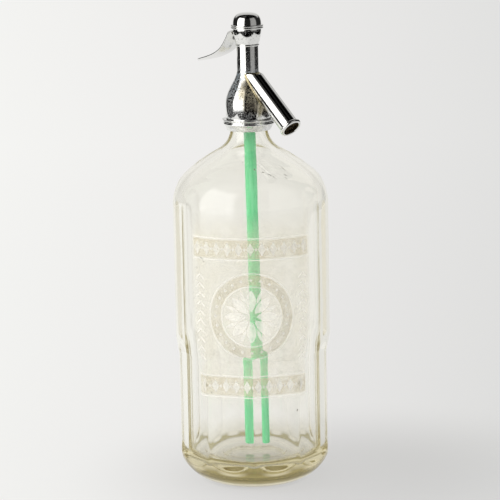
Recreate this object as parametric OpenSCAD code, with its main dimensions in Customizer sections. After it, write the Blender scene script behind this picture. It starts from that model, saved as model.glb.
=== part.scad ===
// Soda siphon: a thick glass bottle with a chromed head, a lift valve worked by a thumb lever, and a straight spout.
// The bottle stands on z = 0 with its axis on Z. The spout points along +X and the lever along -X.

/* [Bottle] */
// Radius of the glass body
body_r = 51.2; // [46:0.1:56]
// Height of the body up to where the shoulder starts to curve in
body_h = 186; // [150:1:220]
// Height of the shoulder, from its start up to the neck
shoulder_rise = 50.4; // [46:0.1:60]
// Radius of the shoulder's outer curve
shoulder_r = 29; // [26:0.5:32]
// How far the shoulder's curve turns before it straightens, in degrees
shoulder_turn = 50; // [44:1:54]
// Radius of the hollow curve under the neck
neck_curve_r = 16.5; // [14:0.5:18]
// How far the neck's hollow curve turns, in degrees
neck_turn = 61; // [56:1:66]
// Thickness of the glass in the body and shoulder
wall_t = 5.7; // [4.5:0.1:7]
// Radius of the glass neck below the collar
neck_r = 12; // [11.4:0.1:12.4]
// Radius of the bore through the neck
mouth_r = 6.6; // [6.3:0.1:7]
// Radius of the rounded heel
heel_r = 27; // [22:0.5:30]
// Width of the flat ring that the bottle stands on
foot_w = 2.6; // [2:0.1:4]
// Height of the hollow under the base
punt_h = 2.5; // [1.5:0.5:6]
// Height of the inner floor above the table
floor_z = 17.7; // [14:0.1:20]
// Height of the raised disc on the inner floor
floor_step_h = 0.5; // [0.3:0.1:2]
// Radius of the raised disc on the inner floor
floor_step_r = 25; // [16:0.5:28]
// Radius of the inner curve between the floor and the wall
floor_curve_r = 8.5; // [6:0.5:12]

/* [Facets] */
// Number of flat facets round the lower body
facet_n = 10; // [8:2:12]
// How far inside the round body the facets meet
facet_inset = 0.15; // [0.1:0.05:0.4]
// Height at which the facets start to curve out into their arches
facet_fold_z = 89; // [75:1:105]
// Height of each arch
arch_h = 10; // [6:1:16]
// How far apart the folds of neighbouring facets lie, as hand-cut ones do
arch_step = 0.4; // [0.2:0.1:1]
// Height of the long arches that run up into the flutes
flute_arch_h = 24; // [14:1:30]
// Width of a flute, in degrees round the body
flute_w = 23; // [16:1:26]
// Angle of a flute's middle from the front of the bottle, in degrees
flute_angle = 60; // [57:0.5:64]
// Direction that the front of the bottle faces, in degrees from the spout
front_angle = -44; // [-90:1:90]

/* [Neck joint] */
// Radius of the groove under the glass lip
groove_r = 10.6; // [10:0.1:11]
// Height of the slope from the neck in to the groove
groove_slope_h = 1.6; // [1:0.1:2.4]
// Height of the groove
groove_h = 7.5; // [6.5:0.1:9]
// Radius of the glass lip
lip_r = 12.2; // [11.8:0.1:12.6]
// Height of the glass lip
lip_h = 8; // [6:0.5:10]
// Thickness of the rubber neck seal
seal_t = 2; // [1.2:0.1:3]
// How far the collar's skirt hangs below the top of the neck's curve
skirt_drop = 2; // [1:0.1:3]
// Radius of the skirt's lower edge
skirt_r = 14.4; // [13.6:0.1:14.8]
// Radius of the collar's thin flange
flange_r = 17.4; // [16.6:0.1:19]
// Thickness of the flange
flange_t = 0.9; // [0.6:0.1:1.4]
// Radius of the bead under the flange
bead_r = 16.8; // [16.2:0.1:17.2]
// Height from the skirt's root up to the bell's lower edge
collar_h = 4; // [3:0.1:5]
// Gap between the collar and the glass
collar_gap = 0.3; // [0.2:0.05:0.5]
// Gap between the two halves of the collar
split_gap = 0.2; // [0.1:0.05:0.4]
// Direction of the split, in degrees from the spout
split_angle = 47; // [0:1:90]

/* [Head] */
// Outer radius of the bell
bell_r = 15.1; // [14.6:0.1:16.4]
// Radius of the bell's bore, where the collar screws in
bell_bore_r = 13.3; // [13:0.1:13.6]
// Height of the straight part of the bell
bell_h = 9.5; // [8:0.5:12]
// Height of the shoulder between the bell and the throat
flare_h = 22.5; // [20:0.5:27]
// Radius of the throat
throat_r = 7.1; // [6.5:0.05:7.6]
// Height of the throat
throat_h = 16; // [15.5:0.5:20]
// Radius of the fine bead at the waist
waist_bead_r = 0.6; // [0.3:0.1:0.8]
// Radius of the bulb at its rim
bulb_r = 9.3; // [8.9:0.1:10]
// Height of the bulb, from the waist to the rim's bead
bulb_h = 10.6; // [10.5:0.1:13]
// Radius of the two beads where the cap meets the bulb
rim_r = 10.7; // [10.2:0.1:11.6]
// Height of each of the two beads
rim_h = 1.3; // [1:0.1:1.6]
// Radius of the cap above its bead
cap_r = 9.35; // [8.9:0.05:10]
// Height of the cap's dome
dome_h = 7.9; // [7:0.1:10]
// Thickness of the cap's crown
crown_t = 2.7; // [2:0.1:3.2]
// Length of the thread on the cap's spigot
spigot_h = 4.5; // [3:0.1:4.5]
// Radius of the spigot's thread
spigot_r = 7; // [6.6:0.1:7.4]
// Radius of the hollow inside the bulb
bulb_bore_r = 5.6; // [5.3:0.1:5.8]

/* [Valve] */
// Radius of the socket that holds the dip tube
socket_r = 6; // [5.6:0.1:6.2]
// Depth of the socket above the neck seal
socket_h = 6; // [5:0.5:7]
// Length of the nut that closes the socket
tube_nut_h = 5; // [4:0.5:6]
// Depth to which the nut is screwed into the socket
tube_nut_in = 1.5; // [1:0.1:2.5]
// Radius of the hole that feeds the valve
feed_r = 2.2; // [1.8:0.1:2.4]
// Metal left between the socket and the seat
feed_h = 1.5; // [1:0.1:3]
// Outer radius of the valve seat
seat_r = 3.6; // [3.4:0.1:3.8]
// Height of the seat's body
seat_h = 3.3; // [2.5:0.1:4]
// Height of the seat's raised rim
seat_rim_h = 0.6; // [0.3:0.1:1]
// Width of the seat's raised rim
seat_rim_w = 0.6; // [0.4:0.1:0.8]
// Radius of the wet chamber
chamber_r = 3.9; // [3.7:0.1:4.1]
// Height of the wet chamber
chamber_h = 13.2; // [13:0.1:16]
// Radius of the valve's disc
disc_r = 3.2; // [3:0.1:3.4]
// Thickness of the valve's disc
disc_t = 1.6; // [1:0.1:2]
// Thickness of the rubber washer
washer_t = 1.7; // [1:0.1:2.4]
// Radius of the threaded foot of the stem
foot_r = 0.9; // [0.7:0.1:1]
// Radius of the nut on the stem's foot
foot_nut_r = 1.6; // [1.4:0.1:1.7]
// Height of the nut on the stem's foot
foot_nut_h = 1.3; // [1:0.1:1.6]
// Radius of the valve stem
stem_r = 1.6; // [1.4:0.05:1.8]
// Running clearance round the stem
stem_gap = 0.05; // [0.03:0.01:0.1]
// Radius of the packing and of the gland nut
gland_r = 4.8; // [4.5:0.1:5]
// Thickness of the brass washer under the packing
packing_washer_t = 0.8; // [0.5:0.1:1.2]
// Height of the packing
packing_h = 3; // [2.5:0.1:3.5]
// Height of the gland nut
gland_h = 6.5; // [5:0.1:6.6]
// Width and depth of the driver slot in the gland nut
driver_slot = 1.4; // [1:0.1:1.8]
// Thickness of the metal floor between the throat's bore and the bulb's hollow
bulb_floor_drop = 1.7; // [1:0.1:2]
// Radius of the collar that the lever lifts
lift_r = 3.3; // [3:0.1:3.4]
// Height of the lift collar
lift_h = 2.5; // [2:0.1:3]
// Length of stem above the lift collar
stem_top = 8; // [6:0.1:8.5]
// Mean radius of the spring
spring_r = 3.6; // [3.2:0.1:4]
// Radius of the spring's wire
wire_r = 0.5; // [0.3:0.05:0.6]
// Number of turns in the spring
turns = 6; // [5:1:6]

/* [Lever] */
// Distance of the lever's pivot behind the bottle's axis
pivot_x = 6.2; // [6:0.1:6.4]
// Height of the pivot above the waist
pivot_up = 4.6; // [4.4:0.1:5]
// Radius of the pivot pin
pin_r = 1.2; // [1:0.05:1.3]
// Running clearance round the pin
pin_gap = 0.05; // [0.03:0.01:0.1]
// How far the domed ends of the pin stand out
pin_end = 0.3; // [0.1:0.05:0.5]
// Radius of the lever's hub
hub_r = 2.3; // [2.1:0.05:2.35]
// Half of the width of the hub and the fork
hub_w = 3.3; // [3.1:0.05:3.4]
// Gap between the hub and each side of its slot
slot_gap = 0.4; // [0.3:0.05:0.5]
// Thickness of each prong of the fork
prong_t = 1.1; // [0.8:0.1:1.2]
// Radius of the rounded nose of each prong
nose_r = 1.2; // [1:0.05:1.2]
// Gap between the nose and the lift collar
lift_gap = 0.1; // [0.05:0.01:0.15]
// How far the lever turns, in degrees
lever_travel = 18; // [14:1:20]
// Distance of the lever's root from the bottle's axis
root_x = 9.6; // [9.4:0.1:10.4]
// How far the lever's root lies below the rim
root_drop = 2.2; // [2:0.1:3]
// Length of the lever from its root, measured level
blade_l = 38.5; // [30:0.5:41]
// Fall of the lever from its root to its tip
blade_fall = 20.9; // [16:0.5:24]
// Slope of the blade at its root, in degrees
root_slope = 58; // [54:1:62]
// Slope of the blade at its tip, in degrees
tip_slope = 12; // [6:1:18]
// Half of the blade's width at its root
root_w = 8.6; // [7:0.1:9.2]
// Half of the width to which the blade tapers before its round tip
tip_w = 7.2; // [5:0.1:8]
// Thickness of the blade's edge
edge_t = 1.2; // [0.8:0.1:1.5]
// Extra depth of the blade's belly
belly_t = 1.9; // [1:0.1:2.4]
// Height of the blade's crown at its root
crown_h = 1.5; // [0.5:0.1:1.8]
// Depth of the thumb's hollow in the blade
dish_h = 0.5; // [0.1:0.1:0.8]
// Height of the rib under the blade's root
rib_h = 1.4; // [0.6:0.1:1.8]

/* [Spout and tube] */
// Outer radius of the spout
spout_r = 6.3; // [6:0.05:6.6]
// Wall of the spout
spout_wall = 0.6; // [0.4:0.05:0.75]
// Angle between the spout and the head's axis, in degrees
spout_angle = 48.6; // [46:0.1:52]
// Height above the flare's foot at which the spout's axis meets the head's axis
spout_up = 22.3; // [21.5:0.1:23.5]
// How far below that point the spout's flat upper end lies
spout_top_drop = 2.3; // [1.6:0.1:3]
// Length of the spout from the head's axis to its mouth
spout_l = 53.5; // [48:0.5:58]
// Radius of the spout's rolled rim
spout_rim_r = 7.4; // [7:0.05:7.8]
// Radius of the opening inside the rolled rim
spout_lip_r = 5.5; // [5.2:0.05:5.5]
// Length of the rolled rim
spout_rim_l = 2.6; // [2:0.1:3.4]
// Thickness of the plate that closes the spout's upper end
spout_cap_t = 0.8; // [0.6:0.1:1.2]
// Radius of the passage from the wet chamber to the spout
passage_r = 2.6; // [2:0.1:2.8]
// Width of the solder fillet round the spout
solder_w = 0.9; // [0.5:0.1:1.2]
// Outer radius of the dip tube
tube_r = 3.9; // [3.5:0.05:4]
// Wall of the dip tube
tube_wall = 1.1; // [0.8:0.1:1.4]
// Gap between the dip tube's end and the raised disc of the floor
tube_end_gap = 5; // [2:0.5:8]
// Lean of the dip tube from upright, in degrees
tube_lean = 0.8; // [0:0.1:0.9]
// Direction in which the dip tube leans, in degrees from the spout
tube_lean_dir = 47; // [0:1:359]

/* [Hidden] */

$fn = 96;
EPS = 0.01;
CUT = 60;                                   // longer than any piece that a cutter has to clear

// Heights, stacked from the table up
neck_z = body_h + shoulder_rise;
skirt_z = neck_z - skirt_drop;
groove_z = neck_z + groove_slope_h;
lip_z = groove_z + groove_h;
lip_top_z = lip_z + lip_h;
ceiling_z = lip_top_z + seal_t;
bell_z = groove_z + collar_h;
flare_z = bell_z + bell_h;
throat_z = flare_z + flare_h;
waist_z = throat_z + throat_h;
rim_z = waist_z + bulb_h;
seam_z = rim_z + rim_h;
cap_z = seam_z + rim_h;
top_z = cap_z + dome_h;
cap_ceiling_z = top_z - crown_t;

// Heights inside the head
socket_top_z = ceiling_z + socket_h;
seat_z = socket_top_z + feed_h;
chamber_z = seat_z + seat_h;
shut_z = chamber_z + seat_rim_h;
ledge_z = chamber_z + chamber_h;
packing_z = ledge_z + packing_washer_t;
gland_z = packing_z + packing_h;
bulb_floor_z = waist_z - bulb_floor_drop;
spigot_z = seam_z - spigot_h;

// The lever and what it lifts: the nose passes level with the pivot at mid travel
pivot_z = waist_z + pivot_up;
nose_drop = pivot_x * tan(lever_travel / 2);
nose_z = pivot_z - nose_drop;
lift_z = nose_z + nose_r + lift_gap;
lift_top_z = lift_z + lift_h;
slot_w = hub_w + slot_gap;
slot_low_z = waist_z + waist_bead_r;
root_z = rim_z - root_drop;
spring_h = cap_ceiling_z - lift_top_z;

// Neighbouring facets meet a little inside the round body, and a flute's edges lie on it
facet_d = (body_r - facet_inset) * cos(180 / facet_n);
flute_d = body_r * cos(flute_w / 2);
flute_sides = [flute_angle, 180 - flute_angle, 180 + flute_angle, 360 - flute_angle];

// The spout and the dip tube
spout_z = flare_z + spout_up;
spout_top_z = spout_z - spout_top_drop;
tube_end_z = floor_z + floor_step_h + tube_end_gap;

function bezier(a, b, c, d, n) =
    [for (i = [0 : n]) let (t = i / n, s = 1 - t) s*s*s*a + 3*s*s*t*b + 3*s*t*t*c + t*t*t*d];
function arc(centre, r, from, to, n) =
    [for (i = [0 : n]) let (a = from + (to - from) * i / n) centre + r * [cos(a), sin(a)]];
function heading(turn) = [-sin(turn), cos(turn)];

// The bottle's side from the start of the shoulder to the top of the neck's hollow curve, set in by a wall
function shoulder_line(inset, neck_inset) =
    let (
        low = arc([body_r - shoulder_r, body_h], shoulder_r - inset, 0, shoulder_turn, 8),
        high = arc([neck_r + neck_curve_r, neck_z], neck_curve_r + neck_inset, 180 + neck_turn, 180, 7),
        from = low[len(low) - 1],
        to = high[0],
        reach = norm(to - from) / 3,
        slope = bezier(from, from + reach * heading(shoulder_turn), to - reach * heading(neck_turn), to, 5)
    )
    concat(low, [for (i = [1 : 4]) slope[i]], high);

function outer_line() =
    concat(
        [[0, punt_h]],
        [for (i = [1 : 5]) let (a = i * 18) [(body_r - heel_r - foot_w) * sin(a), punt_h * cos(a)]],
        arc([body_r - heel_r, heel_r], heel_r, -90, 0, 10),
        shoulder_line(0, 0),
        [[groove_r, groove_z], [groove_r, lip_z]],
        arc([lip_r - 1.5, lip_z + 1.5], 1.5, -60, 0, 3),
        arc([lip_r - 2, lip_top_z - 2], 2, 0, 90, 4)
    );

function inner_line() =
    concat(
        [[0, floor_z + floor_step_h]],
        [[floor_step_r - floor_step_h, floor_z + floor_step_h], [floor_step_r, floor_z]],
        arc([body_r - wall_t - floor_curve_r, floor_z + floor_curve_r], floor_curve_r, -90, 0, 6),
        shoulder_line(wall_t, neck_r - mouth_r),
        [[mouth_r, lip_top_z + EPS], [0, lip_top_z + EPS]]
    );

// A flat cut from below the table up to the fold, from where it runs out to the round body over the arch's height
module facet_cut(fold, rise) {
    far = body_r + 2;
    slope = rise / (body_r - facet_d);
    rotate([90, 0, 0])
        linear_extrude(CUT, center = true)
            polygon([
                [facet_d, -1], [facet_d, fold], [far, fold + (far - facet_d) * slope],
                [far + 2, fold + rise + far], [far + 2, -1]
            ]);
}

module facets() {
    step = 360 / facet_n;
    for (i = [0 : facet_n - 1]) {
        side = (i + 0.5) * step;
        flutes_here = [for (a = flute_sides) if (abs(a - side) < step / 2) a];
        rotate([0, 0, front_angle + side])
            if (len(flutes_here) > 0)
                facet_cut(facet_fold_z + arch_step, flute_arch_h);
            else
                facet_cut(facet_fold_z - i % 2 * arch_step, arch_h);
    }
}

// The flutes start below the arches, where the facets are already deeper
module flutes() {
    low_z = facet_fold_z - arch_h;
    for (side = flute_sides)
        rotate([0, 0, front_angle + side])
            translate([flute_d, -CUT / 2, low_z])
                cube([CUT, CUT, body_h + shoulder_r - low_z]);
}

module bottle() {
    color([0.93, 0.93, 0.84, 0.35])
        difference() {
            rotate_extrude()
                polygon(concat(outer_line(), [[0, lip_top_z]]));
            rotate_extrude()
                polygon(inner_line());
            facets();
            flutes();
        }
}

// The split collar: a skirt and bead outside, and a threaded sleeve that grips under the glass lip
module collar_ring() {
    rotate_extrude()
        polygon([
            [neck_r + collar_gap + 0.4, skirt_z], [skirt_r - 0.6, skirt_z], [skirt_r, skirt_z + 0.8],
            [bead_r - 1, groove_z - 0.6],
            [bead_r - 0.3, groove_z + 0.2], [bead_r, groove_z + 1.2], [bead_r - 0.1, groove_z + 2.2],
            [bead_r - 0.6, bell_z - flange_t - 0.3], [flange_r - 0.2, bell_z - flange_t], [flange_r, bell_z - 0.2],
            [flange_r - 0.2, bell_z], [bell_bore_r, bell_z], [bell_bore_r, lip_z],
            [groove_r + collar_gap, lip_z], [groove_r + collar_gap, groove_z], [neck_r + collar_gap, neck_z]
        ]);
}

module collar_half(side) {
    color([0.78, 0.78, 0.76])
        intersection() {
            collar_ring();
            rotate([0, 0, split_angle])
                translate([-CUT / 2, side > 0 ? split_gap / 2 : -CUT - split_gap / 2, skirt_z - 1])
                    cube([CUT, CUT, lip_z - skirt_z + 2]);
        }
}

module collar_front() {
    collar_half(-1);
}

module collar_back() {
    collar_half(1);
}

module ring(r, hole, z, h) {
    translate([0, 0, z])
        difference() {
            cylinder(r = r, h = h);
            translate([0, 0, -EPS])
                cylinder(r = hole, h = h + 2 * EPS);
        }
}

module neck_seal() {
    color([0.16, 0.15, 0.14])
        ring(lip_r, mouth_r, lip_top_z, seal_t);
}

// Outline of the shoulder between the bell and the throat, set out by the solder's width where that is asked for
function flare_line(out) =
    bezier([bell_r + out, flare_z], [bell_r + out, flare_z + 0.42 * flare_h],
        [throat_r + out, throat_z - 0.31 * flare_h], [throat_r + out, throat_z], 12);

// Outline of the bulb, from the waist to the rim
bulb_line = bezier(
    [throat_r + 0.25, waist_z + waist_bead_r], [throat_r + 1.35, waist_z + 3.6],
    [bulb_r, rim_z - 3.5], [bulb_r, rim_z], 7
);

// Outline of the head, from the bell's lower edge up to the rim's bead
function head_line() =
    concat(
        [[0, bell_z], [bell_r, bell_z]],
        flare_line(0),
        arc([throat_r + 0.1, waist_z], waist_bead_r, -80, 80, 4),
        bulb_line,
        arc([rim_r - rim_h / 2, rim_z + rim_h / 2], rim_h / 2, -90, 90, 5),
        [[0, seam_z]]
    );

module head_outside() {
    rotate_extrude()
        polygon(head_line());
}

// Places its children with their Z axis running down and out along the spout
module on_spout() {
    translate([0, 0, spout_z])
        rotate([0, 180 - spout_angle, 0])
            children();
}

module bore(r, from, to) {
    translate([0, 0, from - EPS])
        cylinder(r = r, h = to - from + 2 * EPS);
}

module head_body() {
    color([0.8, 0.81, 0.82])
        difference() {
            head_outside();
            bore(bell_bore_r, bell_z - 1, ceiling_z);
            bore(socket_r, ceiling_z, socket_top_z);
            bore(feed_r, socket_top_z, seat_z);
            bore(seat_r, seat_z, chamber_z);
            bore(chamber_r, chamber_z, ledge_z);
            bore(gland_r, ledge_z, bulb_floor_z);
            bore(bulb_bore_r, bulb_floor_z, seam_z);
            bore(spigot_r, spigot_z, seam_z + 1);
            on_spout()
                cylinder(r = passage_r, h = spout_l / 2);
            translate([-2 * pivot_x, -slot_w, slot_low_z])
                cube([2 * pivot_x - stem_r, 2 * slot_w, spigot_z - slot_low_z]);
            pin_bar(pin_r, bulb_r * 2);
        }
}

// A bar of the pin's direction through the pivot
module pin_bar(r, l) {
    translate([-pivot_x, 0, pivot_z])
        rotate([90, 0, 0])
            cylinder(r = r, h = l, center = true);
}

module tube_solid(r, from, to) {
    translate([0, 0, ceiling_z])
        rotate([0, 0, tube_lean_dir])
            rotate([0, -tube_lean, 0])
                translate([0, 0, from - ceiling_z])
                    cylinder(r = r, h = to - from);
}

module dip_tube() {
    color([0.3, 0.78, 0.52])
        difference() {
            tube_solid(tube_r, tube_end_z, socket_top_z - 0.2);
            tube_solid(tube_r - tube_wall, tube_end_z - 1, socket_top_z + 1);
        }
}

module tube_grommet() {
    color([0.2, 0.19, 0.18])
        difference() {
            bore(socket_r, ceiling_z + tube_nut_in + EPS, socket_top_z - EPS);
            tube_solid(tube_r, tube_end_z, socket_top_z + 1);
        }
}

module tube_nut() {
    color([0.75, 0.62, 0.35])
        ring(socket_r, tube_r + 0.5, ceiling_z + tube_nut_in - tube_nut_h, tube_nut_h);
}

module valve_seat() {
    color([0.78, 0.64, 0.36])
        rotate_extrude()
            polygon([
                [feed_r, seat_z], [seat_r, seat_z], [seat_r, chamber_z], [feed_r + seat_rim_w + 0.2, chamber_z],
                [feed_r + seat_rim_w, shut_z], [feed_r, shut_z]
            ]);
}

module valve_stem() {
    disc_z = shut_z + washer_t;
    color([0.78, 0.64, 0.36]) {
        bore(foot_r, shut_z - foot_nut_h - 0.5, disc_z);
        bore(disc_r, disc_z + EPS, disc_z + disc_t);
        bore(stem_r, disc_z + disc_t, lift_top_z + stem_top);
    }
}

module valve_washer() {
    color([0.15, 0.14, 0.14])
        ring(disc_r, foot_r, shut_z, washer_t);
}

module washer_nut() {
    color([0.74, 0.6, 0.33])
        ring(foot_nut_r, foot_r, shut_z - foot_nut_h, foot_nut_h);
}

module packing_washer() {
    color([0.78, 0.64, 0.36])
        ring(gland_r, stem_r + 0.3, ledge_z, packing_washer_t);
}

module packing_cup() {
    color([0.22, 0.2, 0.19])
        ring(gland_r, stem_r + stem_gap, packing_z, packing_h);
}

module gland_nut() {
    color([0.74, 0.6, 0.33])
        difference() {
            ring(gland_r, stem_r + stem_gap, gland_z, gland_h);
            translate([-CUT / 2, -driver_slot / 2, gland_z + gland_h - driver_slot])
                cube([CUT, driver_slot, driver_slot + 1]);
        }
}

module lift_collar() {
    color([0.74, 0.6, 0.33])
        ring(lift_r, stem_r, lift_z, lift_h);
}

// The spring: one wire wound round the stem, whose ends press on the lift collar and on the cap
ring_sides = 6;
curl_rings = 8;
spring_rings = turns * curl_rings;
wire_run = spring_h - 2 * wire_r;
function spring_place(i) =
    let (a = 360 * i / curl_rings)
    [spring_r * cos(a), spring_r * sin(a), lift_top_z + wire_r + wire_run * i / spring_rings];
spring_points = [
    for (i = [0 : spring_rings], j = [0 : ring_sides - 1])
        let (a = 360 * i / curl_rings, b = 360 * j / ring_sides)
            spring_place(i) + wire_r * [cos(b) * cos(a), cos(b) * sin(a), sin(b)]
];
spring_faces = concat(
    [[for (j = [0 : ring_sides - 1]) j]],
    [[for (j = [ring_sides - 1 : -1 : 0]) spring_rings * ring_sides + j]],
    [
        for (i = [0 : spring_rings - 1], j = [0 : ring_sides - 1])
            let (k = (j + 1) % ring_sides, a = i * ring_sides, b = a + ring_sides)
                each [[a + j, b + j, b + k], [a + j, b + k, a + k]]
    ]
);
spring_gap = min([
    for (i = [0 : spring_rings], k = [i + 6 : 1 : min(i + 2 * curl_rings, spring_rings)])
        norm(spring_place(i) - spring_place(k))
]) - 2 * wire_r;
echo(spring_least_gap = spring_gap);

module spring() {
    color([0.7, 0.7, 0.68])
        polyhedron(spring_points, spring_faces);
}

module cap() {
    color([0.8, 0.81, 0.82])
        difference() {
            union() {
                rotate_extrude()
                    polygon(concat(
                        [[0, seam_z]],
                        arc([rim_r - rim_h / 2, seam_z + rim_h / 2], rim_h / 2, -90, 90, 5),
                        bezier([cap_r, cap_z], [cap_r, cap_z + 0.8 * dome_h], [0.68 * cap_r, top_z], [0, top_z], 12)
                    ));
                bore(spigot_r, spigot_z + EPS, seam_z);
            }
            bore(bulb_bore_r, spigot_z - 1, cap_ceiling_z - EPS);
        }
}

// The blade follows one curve from its root to its tip, and its cross-section changes on the way
blade_steps = 18;
blade_root = [root_x, root_z];
blade_tip = [root_x + blade_l, root_z - blade_fall];
blade_bend = 0.9;
root_dir = [cos(root_slope), -sin(root_slope)];
tip_dir = [cos(tip_slope), -sin(tip_slope)];
// Distances from the root and the tip to where the end tangents cross
cross_det = root_dir[1] * tip_dir[0] - root_dir[0] * tip_dir[1];
blade_span = blade_tip - blade_root;
root_leg = (blade_span[1] * tip_dir[0] - blade_span[0] * tip_dir[1]) / cross_det;
tip_leg = (root_dir[1] * blade_span[0] - root_dir[0] * blade_span[1]) / cross_det;
blade_line = bezier(
    blade_root, blade_root + blade_bend * root_leg * root_dir,
    blade_tip - blade_bend * tip_leg * tip_dir, blade_tip, blade_steps
);
function blade_dir(i) =
    let (a = blade_line[max(i - 1, 0)], b = blade_line[min(i + 1, blade_steps)]) (b - a) / norm(b - a);
function blade_w(u) = max((root_w + (tip_w - root_w) * u) * sqrt(1 - pow(u, 5)), 0.6);
function ease(u) = u <= 0 ? 0 : u >= 1 ? 1 : u * u * (3 - 2 * u);
// Height of the upper face over the edge, and depth of the lower face, at s from -1 to 1 across the blade
function blade_top(u, s) = (crown_h * (1 - ease(u / 0.45)) - dish_h * ease(u / 0.45) * (1 - pow(u, 4))) * (1 - s * s);
function blade_belly(u) = belly_t * ease((u - 0.15) / 0.35) * (1 - 0.8 * pow(u, 3));
function blade_rib(u, s) = rib_h * ease(u / 0.1) * (1 - ease(u / 0.5)) * max(1 - 3 * abs(s), 0);
function blade_low(u, s) =
    blade_top(u, s) * (1 - ease(u / 0.45)) - edge_t - blade_belly(u) * (1 - s * s) - blade_rib(u, s);
top_marks = [-1, -0.6, -0.2, 0.2, 0.6, 1];
low_marks = [1, 0.75, 0.5, 0.3, 0, -0.3, -0.5, -0.75, -1];
blade_ring = len(top_marks) + len(low_marks);
function blade_point(i, s, h) =
    let (p = blade_line[i] + h * [-blade_dir(i)[1], blade_dir(i)[0]])
    [-p[0], s * blade_w(i / blade_steps), p[1]];
blade_points = [
    for (i = [0 : blade_steps])
        let (u = i / blade_steps)
            each concat(
                [for (s = top_marks) blade_point(i, s, blade_top(u, s))],
                [for (s = low_marks) blade_point(i, s, blade_low(u, s))]
            )
];
blade_faces = concat(
    [[for (j = [0 : blade_ring - 1]) j]],
    [[for (j = [blade_ring - 1 : -1 : 0]) blade_steps * blade_ring + j]],
    [
        for (i = [0 : blade_steps - 1], j = [0 : blade_ring - 1])
            let (k = (j + 1) % blade_ring, a = i * blade_ring, b = a + blade_ring)
                each [[a + j, b + j, b + k], [a + j, b + k, a + k]]
    ]
);

module side_plate(half_w) {
    rotate([90, 0, 0])
        linear_extrude(2 * half_w, center = true)
            children();
}

module lever() {
    color([0.8, 0.81, 0.82])
        difference() {
            union() {
                polyhedron(blade_points, blade_faces);
                side_plate(hub_w) {
                    translate([-pivot_x, pivot_z])
                        circle(r = hub_r);
                    polygon([
                        [-pivot_x, pivot_z + hub_r], [-root_x - 0.6, root_z - 1.8], [-root_x - 3.2, pivot_z - 0.6],
                        [-root_x - 4.8, pivot_z - 3.2], [-root_x - 3, pivot_z - 4], [-pivot_x, pivot_z - hub_r]
                    ]);
                }
                difference() {
                    side_plate(hub_w) {
                        translate([0, nose_z])
                            circle(r = nose_r);
                        polygon([
                            [-pivot_x, pivot_z + 0.2], [-nose_r / 2, nose_z + 0.7 * nose_r], [0, nose_z - nose_r],
                            [-pivot_x, pivot_z - hub_r + 0.1]
                        ]);
                    }
                    side_plate(hub_w - prong_t)
                        translate([-pivot_x + hub_r, pivot_z - CUT / 2])
                            square(CUT);
                }
            }
            pin_bar(pin_r + pin_gap, 3 * root_w);
        }
}

module lever_pin() {
    // The pin ends just outside the bulb's wall, so its length follows the bulb at the pivot's height
    wall_r = lookup(pivot_z, [for (p = bulb_line) [p[1], p[0]]]);
    half_l = sqrt(wall_r * wall_r - pivot_x * pivot_x) + pin_end;
    color([0.72, 0.72, 0.7])
        pin_bar(pin_r, 2 * half_l);
}

module spout_solid(r, l, top) {
    difference() {
        on_spout()
            cylinder(r = r, h = l);
        translate([-CUT / 2, -CUT / 2, top])
            cube(CUT);
    }
}

module spout_tube() {
    inner_r = spout_r - spout_wall;
    rim_bulge = spout_rim_r - spout_r;
    color([0.8, 0.81, 0.82])
        difference() {
            union() {
                spout_solid(spout_r, spout_l, spout_top_z);
                on_spout()
                    translate([0, 0, spout_l - spout_rim_l])
                        rotate_extrude()
                            polygon(concat(
                                [[0, 0], [spout_r, 0]],
                                [
                                    for (a = [-90 : 22.5 : 90])
                                        [spout_r + rim_bulge * cos(a), spout_rim_l / 2 * (1 + sin(a))]
                                ],
                                [[0, spout_rim_l]]
                            ));
            }
            spout_solid(inner_r, spout_l - spout_rim_l, spout_top_z - spout_cap_t);
            on_spout()
                translate([0, 0, spout_l / 2])
                    cylinder(r = spout_lip_r, h = spout_l);
            head_outside();
        }
}

module spout_solder() {
    color([0.72, 0.62, 0.4])
        difference() {
            intersection() {
                spout_solid(spout_r + solder_w, spout_l, spout_top_z + solder_w);
                rotate_extrude()
                    polygon(concat(
                        [[0, bell_z], [bell_r + solder_w, bell_z]],
                        flare_line(solder_w),
                        [[throat_r + solder_w, waist_z - 1], [0, waist_z - 1]]
                    ));
            }
            spout_solid(spout_r, spout_l, spout_top_z);
            head_outside();
        }
}

bottle();
collar_front();
collar_back();
neck_seal();
head_body();
tube_grommet();
tube_nut();
dip_tube();
valve_seat();
valve_stem();
valve_washer();
washer_nut();
packing_washer();
packing_cup();
gland_nut();
lift_collar();
spring();
cap();
lever();
lever_pin();
spout_tube();
spout_solder();
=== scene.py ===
"""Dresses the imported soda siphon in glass, chrome, green tube and rubber, in a pale studio."""

import math
from functools import partial

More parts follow.
